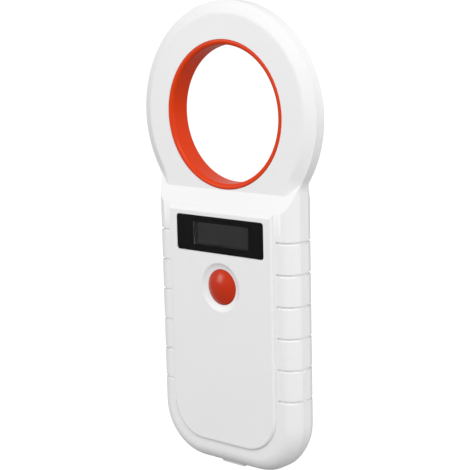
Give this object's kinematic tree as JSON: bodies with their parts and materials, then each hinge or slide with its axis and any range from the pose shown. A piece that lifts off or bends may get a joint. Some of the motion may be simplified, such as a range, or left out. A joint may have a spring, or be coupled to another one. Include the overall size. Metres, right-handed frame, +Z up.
{
  "type": "microchip scanner",
  "caption": "Handheld animal microchip scanner: a ring antenna with a coloured liner on a flat white handle, with a display window, a domed push button and a port cover.",
  "frame": {"origin": "centre of the object's footprint at its lowest point, under the port cover", "axes": "+Z up the handle to the ring, -Y out of the front face with the display, +X across to the right seen from the front; the casing halves part at Y = 0"},
  "size_m": [0.0736, 0.0157, 0.1554],
  "materials": {
    "shell_white": "moulded ABS, fine satin, slight gloss",
    "liner_orange": "moulded ABS, satin red-orange",
    "button_orange": "moulded ABS, polished red-orange",
    "clear_window": "clear acrylic, polished",
    "black_mask": "black printed film",
    "display_glass": "dark display glass",
    "foam": "black foam",
    "flex_film": "amber polyimide film",
    "black_plastic": "black glass-filled plastic",
    "switch_grey": "grey plastic",
    "copper_wire": "enamelled copper wire",
    "steel": "tin-plated steel",
    "screw_steel": "nickel-plated steel",
    "board_green": "glass-epoxy laminate with green solder mask",
    "chip_black": "moulded epoxy",
    "capacitor_brown": "ceramic chip capacitor",
    "cell_foil": "aluminium laminate pouch",
    "lead_red": "PVC insulated wire",
    "connector_cream": "natural nylon",
    "soft_white": "soft silicone, matt",
    "label_silver": "blank polyester label"
  },
  "bodies": {
    "root": {"antenna_bobbin": "black_plastic", "antenna_coil": "copper_wire", "battery": "cell_foil", "battery_leads": "lead_red", "battery_plug": "connector_cream", "battery_socket": "connector_cream", "battery_tape": "foam", "board_screws": "screw_steel", "buzzer": "black_plastic", "charger_chip": "chip_black", "chip_capacitors": "capacitor_brown", "circuit_board": "board_green", "coil_leads": "copper_wire", "controller_chip": "chip_black", "crystal": "steel", "display_flex": "flex_film", "display_foam": "foam", "display_panel": "display_glass", "display_window": "clear_window", "front_shell": "shell_white", "reader_chip": "chip_black", "rear_label": "label_silver", "rear_shell": "shell_white", "ring_liner": "liner_orange", "screw_plugs": "soft_white", "shell_screws": "screw_steel", "switch_body": "black_plastic", "switch_cover": "steel", "usb_socket": "steel", "window_mask": "black_mask"},
    "button": {"button_cap": "button_orange"},
    "plunger": {"switch_plunger": "switch_grey"},
    "cover": {"port_cover": "soft_white"}
  },
  "joints": [
    {"name": "button_press", "type": "slide", "parent": "root", "child": "button", "axis": [0, 1, 0], "range_m": [0, 0.0003], "stiffness_N_per_m": 400, "springref_m": -0.002},
    {"name": "plunger_press", "type": "slide", "parent": "root", "child": "plunger", "axis": [0, 1, 0], "range_m": [0, 0.0003]},
    {"name": "cover_hinge", "type": "hinge", "parent": "root", "child": "cover", "pos_m": [0, 0.00235, 0.00085], "axis": [1, 0, 0], "range_deg": [0, 110]}
  ],
  "couplings": [
    {"joint": "plunger_press", "follows": "button_press", "ratio": 1}
  ]
}
